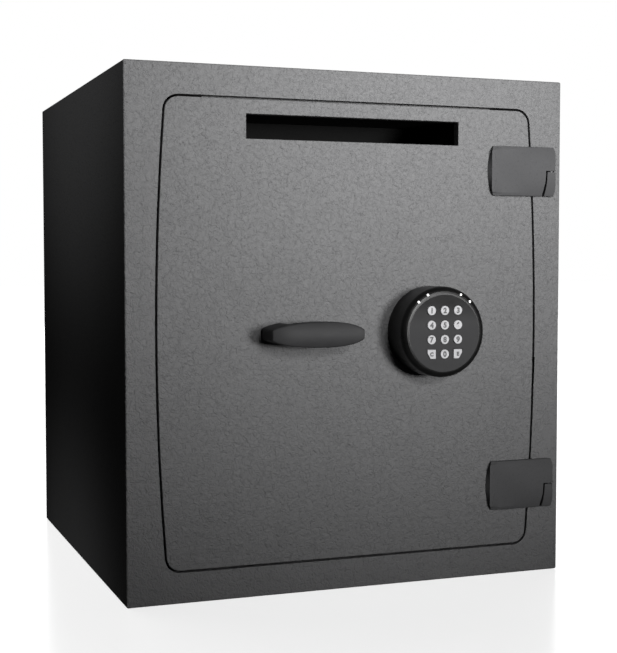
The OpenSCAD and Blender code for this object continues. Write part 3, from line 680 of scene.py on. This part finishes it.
def printed_mark(text, size):
    """Type set as a thin mesh that faces the front, centred on nothing."""
    type_data = bpy.data.curves.new("type", "FONT")
    type_data.body = text
    type_data.size = size
    type_data.extrude = mark_thickness
    type_data.offset = mark_boldness
    type_data.align_x = "CENTER"
    type_data.align_y = "CENTER"
    holder = bpy.data.objects.new("type_holder", type_data)
    bpy.context.scene.collection.objects.link(holder)
    bpy.context.view_layer.update()
    shape = bpy.data.meshes.new_from_object(holder.evaluated_get(bpy.context.evaluated_depsgraph_get()))
    made = bmesh.new()
    made.from_mesh(shape)
    bpy.data.meshes.remove(shape)
    bpy.data.objects.remove(holder)
    bmesh.ops.remove_doubles(made, verts=made.verts, dist=0.001 * mm)
    to_front = Matrix.Rotation(radians(90), 3, "X")
    bmesh.ops.rotate(made, verts=made.verts, cent=(0, 0, 0), matrix=to_front)
    return made


def box_of(made):
    """The lowest and highest corners of a mesh in the making."""
    low = Vector([min(v.co[k] for v in made.verts) for k in range(3)])
    high = Vector([max(v.co[k] for v in made.verts) for k in range(3)])
    return low, high


print("type is", round(number_height / mm, 1), "mm high and", mark_thickness / mm * 2, "mm thick")

# %% [markdown]
# ## Keys
# Each key is a small rubber cap that a finger wears round, so its rim gets a clear radius. One
# loop makes all twelve, because they differ only in place and mark. Each mark rides on its own
# key, so it goes in when the key is pressed; one mesh for all the marks would be left behind in
# the air.

# %% Keys
cap_radius = 0.6 * mm

for key_name in [name for name in frame["bodies"] if name.startswith("key_")]:
    key_low, key_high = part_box(key_name)

    def on_cap_rim(point, edge):
        """True round the front of this key."""
        return abs(point.y - key_low.y) < same_place

    cap_mesh = welded_copy(key_name)
    soften(cap_mesh, cap_radius, on_cap_rim, 3)
    cap = piece_from(cap_mesh, key_name + "_cap", key_rubber)
    stands_for(cap, key_name, key_name)

    label = key_name.removeprefix("key_")
    size = letter_height if label in MARK_OF_KEY else number_height
    mark_mesh = printed_mark(MARK_OF_KEY.get(label, label), size)
    low, high = box_of(mark_mesh)
    face_middle = Vector(((key_low.x + key_high.x) / 2, key_low.y, (key_low.z + key_high.z) / 2))
    bmesh.ops.translate(mark_mesh, verts=mark_mesh.verts, vec=face_middle - (low + high) / 2)
    mark = piece_from(mark_mesh, key_name + "_mark", key_ink)
    mark.modifiers.clear()
    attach(mark, key_name)

# %% [markdown]
# ## The inner cover
# With the door open, the cover over the bolt work is what one sees: a thin pressed sheet held by
# four socket screws. The press leaves a shallow panel in it, which keeps a thin sheet from
# drumming. A pocket cut half through the sheet gives that panel real edges, which a bump could
# not.

# %% Inner cover
cover_low, cover_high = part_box("inner_cover")
POCKETS = 3
pocket_margin, pocket_gap = 26 * mm, 10 * mm
pocket_corner = 9 * mm


def slab_tool(name, low, high, corner):
    """A block with round upright corners, used only to cut with."""
    made = bmesh.new()
    bmesh.ops.create_cube(made, size=1)
    bmesh.ops.scale(made, verts=made.verts, vec=high - low)
    bmesh.ops.translate(made, verts=made.verts, vec=(low + high) / 2)
    upright = [e for e in made.edges if abs(e.verts[0].co.y - e.verts[1].co.y) > mm / 2]
    bmesh.ops.bevel(made, geom=upright, offset=corner, segments=8, profile=0.5, affect="EDGES")
    tool = piece_from(made, name, inner_coat)
    tool.modifiers.clear()
    return tool


def cover_pocket(part):
    """One of a row of pressed panels, half as deep as the sheet."""
    room = cover_high.x - cover_low.x - 2 * pocket_margin - (POCKETS - 1) * pocket_gap
    width = room / POCKETS
    left = cover_low.x + pocket_margin + part * (width + pocket_gap)
    low = Vector((left, (cover_low.y + cover_high.y) / 2, cover_low.z + pocket_margin))
    high = Vector((left + width, cover_high.y + mm, cover_high.z - pocket_margin))
    return slab_tool("pocket_" + str(part), low, high, pocket_corner)


def cut_with(piece, tools):
    """A piece with every tool's shape cut out of it; the piece and the tools are thrown away."""
    cuts = [("BOOLEAN", {"operation": "DIFFERENCE", "solver": "EXACT", "object": tool}) for tool in tools]
    made = worked(piece, *cuts)
    for tool in tools:
        bpy.data.meshes.remove(tool.data)
    return made


def on_cover_face(point, edge):
    """True for the long edges on the side of the cover that one sees."""
    return abs(point.y - cover_high.y) < same_place and edge.calc_length() > shortest_straight


sheet = piece_from(welded_copy("inner_cover"), "cover_sheet", inner_coat)
pressed = cut_with(sheet, [cover_pocket(part) for part in range(POCKETS)])
print("cover edges", soften(pressed, 0.5 * mm, on_cover_face, 2))
cover = piece_from(pressed, "cover_panel", inner_coat)
stands_for(cover, "door", "inner_cover")

# %% [markdown]
# ## Socket screws
# The frame's screws are plain heads. A real one has a broken rim and a hex socket, and these four
# catch the eye when the door stands open. A bump could only hint at a socket, so a six-sided rod
# cuts a real one, and its place comes from the corners of the screws' box.

# %% Cover screws
head_radius = 5 * mm
socket_radius, socket_depth = 2.6 * mm, 1.4 * mm
head_low, head_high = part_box("cover_screws")


def rod_tool(name, start, end, radius, corners):
    """A plain rod between two points, used only to cut with."""
    made = bmesh.new()
    span = Vector(end) - Vector(start)
    turn = span.to_track_quat("Z", "Y").to_matrix().to_4x4()
    placed = Matrix.Translation((Vector(start) + Vector(end)) / 2) @ turn
    bmesh.ops.create_cone(made, cap_ends=True, segments=corners, radius1=radius, radius2=radius,
                          depth=span.length, matrix=placed)
    tool = piece_from(made, name, zinc_plate)
    tool.modifiers.clear()
    return tool


def on_head_rim(point, edge):
    """True round the outer end of every head."""
    return point.y > head_high.y - same_place


screws = piece_from(welded_copy("cover_screws"), "screws_blank", zinc_plate)
socket_tools = []
for side in (-1, 1):
    for level in (-1, 1):
        x = (head_low.x + head_high.x) / 2 + side * ((head_high.x - head_low.x) / 2 - head_radius)
        z = (head_low.z + head_high.z) / 2 + level * ((head_high.z - head_low.z) / 2 - head_radius)
        bottom, above = (x, head_high.y - socket_depth, z), (x, head_high.y + mm, z)
        socket_tools.append(rod_tool("socket", bottom, above, socket_radius, 6))
socketed = cut_with(screws, socket_tools)
print("head rims", soften(socketed, 0.35 * mm, on_head_rim, 2))
cover_screw_set = piece_from(socketed, "cover_screw_set", zinc_plate)
stands_for(cover_screw_set, "door", "cover_screws")

# %% [markdown]
# ## Camera
# The camera stands a little to the left of the safe and looks slightly down, with a long lens, so
# the box's uprights stay nearly parallel. A wide lens closer by would show the same faces, but
# the corners would splay. Depth of field stays off: the whole safe is sharp.

# %% Camera
tilt_down, turn_right = radians(2.948), radians(20.528)
camera_data = bpy.data.cameras.new("view")
camera_data.lens = 72.44
camera_data.sensor_width = 36
camera = bpy.data.objects.new("view", camera_data)
camera.location = (-0.4872, -1.3973, 0.3206)
camera.rotation_euler = (radians(90) - tilt_down, 0, -turn_right)
bpy.context.scene.collection.objects.link(camera)
bpy.context.scene.camera = camera
print("camera", tuple(round(v, 3) for v in camera.location), "lens", round(camera_data.lens), "mm")

# %% [markdown]
# ## Floor
# A studio shot on white needs a floor that stays pale while the safe stays dark. The real one is
# a smooth white board that gives a faint, soft mirror image under the box. One shader can't be
# both chalky far off and polished near by, so a matt and a polished one are mixed, with less and
# less polish away from the box. The floor casts no light back on the safe, or its dark coat would
# turn grey from below.

# %% Floor
floor_reach = 14.0
floor_gap = 0.2 * mm
floor_corners = [(x * floor_reach, y * floor_reach, 0) for x, y in ((-1, -1), (1, -1), (1, 1), (-1, 1))]
floor_mesh = bpy.data.meshes.new("floor")
floor_mesh.from_pydata(floor_corners, [], [(0, 1, 2, 3)])
floor = bpy.data.objects.new("floor", floor_mesh)
floor.location.z = cad_bounds[0].z - floor_gap
bpy.context.scene.collection.objects.link(floor)
floor_paint = bpy.data.materials.new("floor_white")
floor_paint.use_nodes = True
paint = floor_paint.node_tree
matt = add(paint, "ShaderNodeBsdfDiffuse", {"Color": (0.9, 0.9, 0.9, 1)})
polish = add(paint, "ShaderNodeBsdfAnisotropic", {"Color": (1, 1, 1, 1), "Roughness": 0.2})
place = add(paint, "ShaderNodeTexCoord").outputs["Object"]
away = add(paint, "ShaderNodeVectorMath", {0: place}, operation="LENGTH").outputs["Value"]
polished = spread(paint, away, 0.26, 0.0, 0.4, 2.0)
surface = add(paint, "ShaderNodeMixShader", {0: polished, 1: matt.outputs[0], 2: polish.outputs[0]})
paint.links.new(surface.outputs[0], paint.nodes["Material Output"].inputs["Surface"])
floor_mesh.materials.append(floor_paint)
floor.visible_diffuse = False
floor.visible_glossy = False
print("floor", floor_reach * 2, "m wide")

# %% [markdown]
# ## Lamps on the safe
# Two soft spot lamps stand in front, a low one to the right and a weaker, higher one. Both are
# aimed above the safe, so the soft edge of their cones crosses the door and gives it its slow
# change from light to dark. One small lamp would do that too, but its shadows would be hard. The
# left side gets two faint lamps of its own, so the box reads as solid but stays dark there, and a
# dim panel behind fills the back. Light linking decides which pieces a lamp reaches: these leave
# out the floor.

# %% Lamps on the safe
def place_lamp(name, kind, place, target, power, only=None):
    """A lamp that faces a point and lights only one piece, or all but the floor."""
    data = bpy.data.lights.new(name, kind)
    data.energy = power
    made = bpy.data.objects.new(name, data)
    made.location = place
    made.rotation_euler = (Vector(target) - Vector(place)).to_track_quat("-Z", "Y").to_euler()
    made.visible_camera = False
    bpy.context.scene.collection.objects.link(made)
    group = bpy.data.collections.new(name + "_reach")
    group.objects.link(only or floor)
    made.light_linking.receiver_collection = group
    group.collection_objects[0].light_linking.link_state = "INCLUDE" if only else "EXCLUDE"
    return data


def spot(name, place, target, power, cone, softness, only=None):
    """A spot lamp whose light fades from the middle of its cone to the edge."""
    lamp = place_lamp(name, "SPOT", place, target, power, only)
    lamp.spot_size = radians(cone)
    lamp.spot_blend = 1.0
    lamp.shadow_soft_size = softness


above_door = (0.09, front_y, 0.60)
side_top = (outer_low.x, 0, outer_high.z + 0.12)
side_foot = (outer_low.x, 0.05, -0.12)
spot("low_spot", (0.87, -2.62, 0.55), above_door, 510, 26, 0.4)
spot("high_spot", (0.20, -2.60, 1.15), above_door, 250, 26, 0.4)
spot("upper_left", (-2.6, -0.5, 1.3), side_top, 62, 18, 0.1, box_shell)
spot("lower_left", (-2.2, -0.2, 0.1), side_foot, 22, 18, 0.1, box_shell)
back_fill = place_lamp("back_fill", "AREA", (1.1, 1.9, 1.2), (0, 0.2, 0.25), 30)
back_fill.size = 1.2
print("lamps on the safe", [lamp.name for lamp in bpy.data.lights])

# %% [markdown]
# ## Lamps on the floor
# The floor has lamps of its own, joined to it by light linking: a lamp that lit both would either
# burn out the door or leave a grey floor. A sun without shadows makes it even, and a wide panel
# far behind lifts it towards the horizon, where it would otherwise look darker than the sky.

# %% Lamps on the floor
floor_even = place_lamp("floor_even", "SUN", (0, 0, 3), (0, 0, 0), 3.7, floor)
floor_even.use_shadow = False
floor_wash = place_lamp("floor_wash", "AREA", (0, 4.0, 2.5), (0, 0, 0.9), 190, floor)
floor_wash.shape = "RECTANGLE"
floor_wash.size = 12
floor_wash.size_y = 5
print("lamps", len(bpy.data.lights))

# %% [markdown]
# ## Sky
# The space behind the safe is white to look at, but a white sky would also light the dark coat
# from every side and wash it out. The sky therefore has two strengths: full where it is seen, and
# almost nothing where it is felt as light. The plain view transform keeps white as white.

# %% Sky
WHITE = (1, 1, 1, 1)
seen_strength, felt_strength = 1.0, 0.012
world = bpy.data.worlds.new("studio")
bpy.context.scene.world = world
world.use_nodes = True
sky = world.node_tree
seen = add(sky, "ShaderNodeBackground", {"Color": WHITE, "Strength": seen_strength})
felt = add(sky, "ShaderNodeBackground", {"Color": WHITE, "Strength": felt_strength})
ray = add(sky, "ShaderNodeLightPath").outputs["Is Camera Ray"]
choice = add(sky, "ShaderNodeMixShader", {0: ray, 1: felt.outputs[0], 2: seen.outputs[0]})
sky.links.new(choice.outputs[0], sky.nodes["World Output"].inputs["Surface"])
bpy.context.scene.view_settings.view_transform = "Standard"
print("sky seen at", seen_strength, "and felt at", felt_strength)

# %% [markdown]
# ## The CAD's box
# The last step prints the corners of the CAD's box, measured before any piece was dressed.
# The dressed model must stay inside the CAD's box.

# %% The CAD's box
print("cad", [tuple(corner) for corner in cad_bounds])
